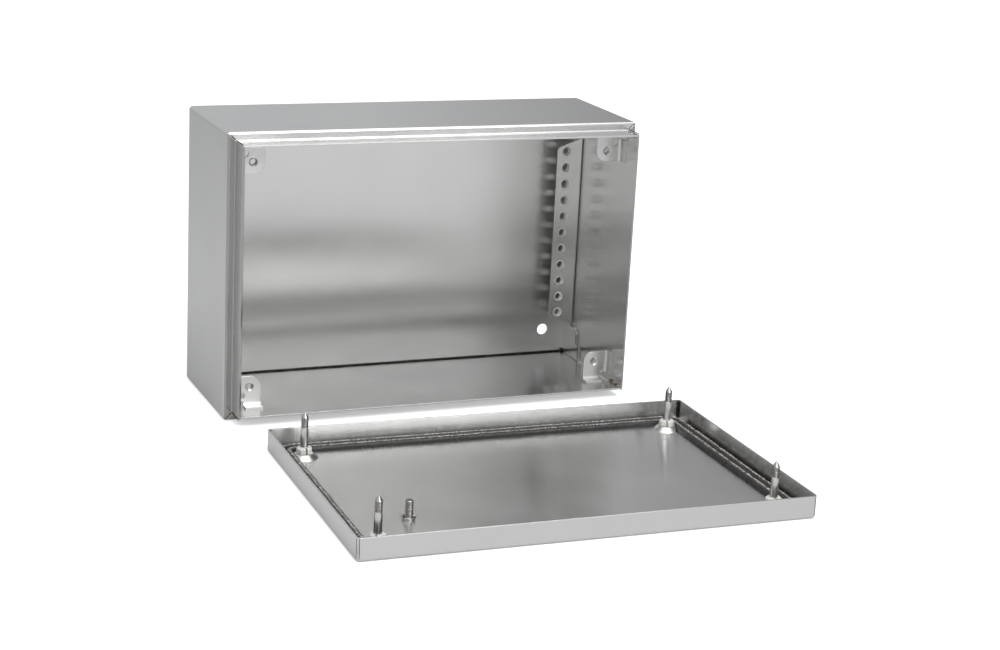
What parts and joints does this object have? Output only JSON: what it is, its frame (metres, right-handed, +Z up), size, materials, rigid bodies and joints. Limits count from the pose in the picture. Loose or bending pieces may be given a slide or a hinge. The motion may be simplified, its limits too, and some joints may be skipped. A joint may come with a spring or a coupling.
{
  "type": "junction box",
  "caption": "Open stainless sheet-steel junction box with perforated side rails and corner lugs, its screw-on lid with seal and captive screws lying in front",
  "frame": {"origin": "centre of the enclosure's bottom face, at half its width and half the depth from the front flange to the back", "axes": "+X along the width, +Y from the opening to the back, +Z up; the lid lies at negative Y"},
  "size_m": [0.3108, 0.3736, 0.2],
  "materials": {
    "stainless_sheet": "fine ground stainless sheet",
    "stainless_turned": "bright turned stainless",
    "white_plastic": "moulded white nylon",
    "seal_foam": "foamed-in black polyurethane with a skin",
    "seal_ring": "black rubber"
  },
  "bodies": {
    "enclosure": {"body_wrap": "stainless_sheet", "back_pan": "stainless_sheet", "lug_top_left": "stainless_sheet", "lug_top_right": "stainless_sheet", "lug_bottom_left": "stainless_sheet", "lug_bottom_right": "stainless_sheet"},
    "lid": {"lid_pan": "stainless_sheet", "gasket": "seal_foam", "earth_stud": "stainless_turned", "contact_washer": "stainless_turned", "sealing_washer_front_left": "seal_ring", "sealing_washer_front_right": "seal_ring", "sealing_washer_back_left": "seal_ring", "sealing_washer_back_right": "seal_ring"},
    "screw_front_left": {"lid_screw_front_left": "stainless_turned", "screw_retainer_front_left": "white_plastic"},
    "screw_front_right": {"lid_screw_front_right": "stainless_turned", "screw_retainer_front_right": "white_plastic"},
    "screw_back_left": {"lid_screw_back_left": "stainless_turned", "screw_retainer_back_left": "white_plastic"},
    "screw_back_right": {"lid_screw_back_right": "stainless_turned", "screw_retainer_back_right": "white_plastic"}
  },
  "joints": [
    {"name": "lid_lift", "type": "slide", "parent": "enclosure", "child": "lid", "axis": [0, 0, 1], "range_m": [0, 0.12]},
    {"name": "screw_turn_front_left", "type": "hinge", "parent": "lid", "child": "screw_front_left", "pos_m": [-0.12444, -0.29483, 0.02], "axis": [0, 0, 1], "continuous": true},
    {"name": "screw_turn_front_right", "type": "hinge", "parent": "lid", "child": "screw_front_right", "pos_m": [0.13646, -0.30211, 0.02], "axis": [0, 0, 1], "continuous": true},
    {"name": "screw_turn_back_left", "type": "hinge", "parent": "lid", "child": "screw_back_left", "pos_m": [-0.12006, -0.13789, 0.02], "axis": [0, 0, 1], "continuous": true},
    {"name": "screw_turn_back_right", "type": "hinge", "parent": "lid", "child": "screw_back_right", "pos_m": [0.14084, -0.14517, 0.02], "axis": [0, 0, 1], "continuous": true}
  ]
}
